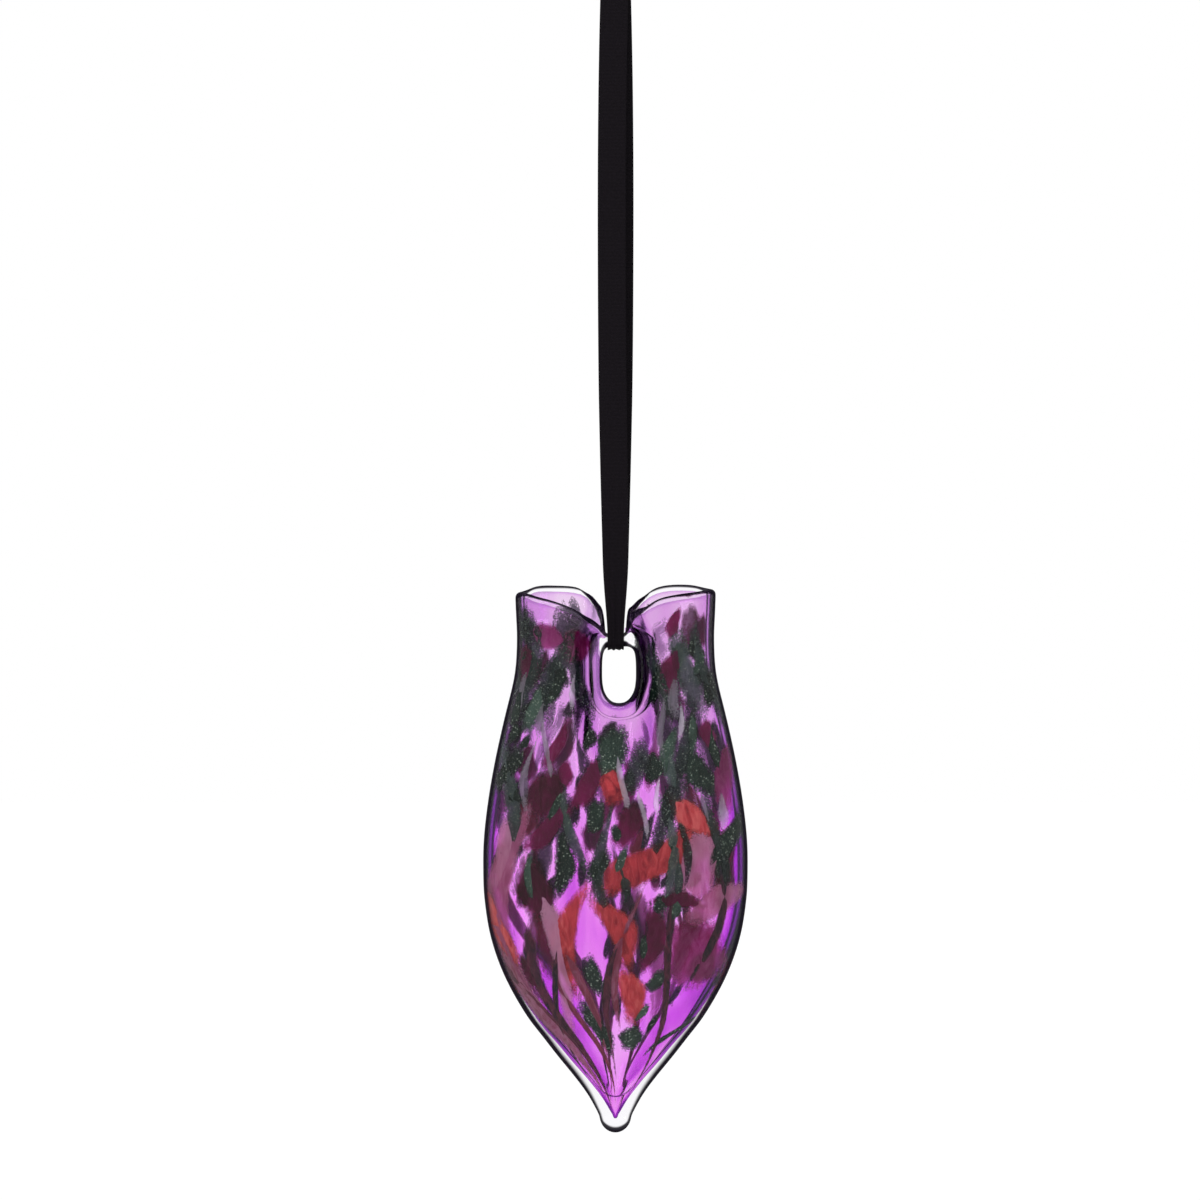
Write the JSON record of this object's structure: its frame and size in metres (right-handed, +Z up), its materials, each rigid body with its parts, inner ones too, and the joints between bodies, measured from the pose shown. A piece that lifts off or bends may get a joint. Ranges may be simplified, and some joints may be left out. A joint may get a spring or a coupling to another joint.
{
  "type": "hanging wall vase",
  "caption": "Flattened blown glass wall vase in violet with coloured frit, pinched into two mouths and pierced, hung by a loop of black ribbon.",
  "frame": {"origin": "where the ribbon's loop bears on its peg", "axes": "+Z up, +Y towards the wall, so the front faces -Y, +X to the right seen from the front"},
  "size_m": [0.122, 0.0541, 0.555],
  "materials": {
    "clear_glass": "clear, fire polished",
    "violet_glass": "clear violet",
    "green_glass": "dark green with sparkle",
    "coral_glass": "opaque coral",
    "plum_glass": "deep plum",
    "black_ribbon": "matt ribbed ribbon",
    "black_thread": "sewing thread"
  },
  "bodies": {
    "hanger": {"ribbon_top_loop": "black_ribbon"},
    "ribbon_neck": {"ribbon_neck_front": "black_ribbon", "ribbon_neck_back": "black_ribbon"},
    "ribbon": {"ribbon_strand_front": "black_ribbon", "ribbon_strand_back": "black_ribbon", "ribbon_bight": "black_ribbon", "ribbon_lap": "black_ribbon", "lap_thread": "black_thread"},
    "vase": {"clear_casing": "clear_glass", "violet_lining": "violet_glass", "hole_lip": "clear_glass", "tip_drop": "clear_glass", "green_frit": "green_glass", "coral_frit": "coral_glass", "plum_frit": "plum_glass"}
  },
  "joints": [
    {"name": "ribbon_swing", "type": "hinge", "parent": "hanger", "child": "ribbon_neck", "pos_m": [0, 0, -0.01605], "axis": [0, 1, 0], "range_deg": [-20, 20]},
    {"name": "ribbon_twist", "type": "hinge", "parent": "ribbon_neck", "child": "ribbon", "pos_m": [0, 0, -0.03015], "axis": [0, 0, 1], "range_deg": [-90, 90], "stiffness_Nm_per_rad": 0.0006},
    {"name": "vase_tilt", "type": "hinge", "parent": "ribbon", "child": "vase", "pos_m": [0, 0, -0.326], "axis": [1, 0, 0], "range_deg": [-35, 35]}
  ]
}
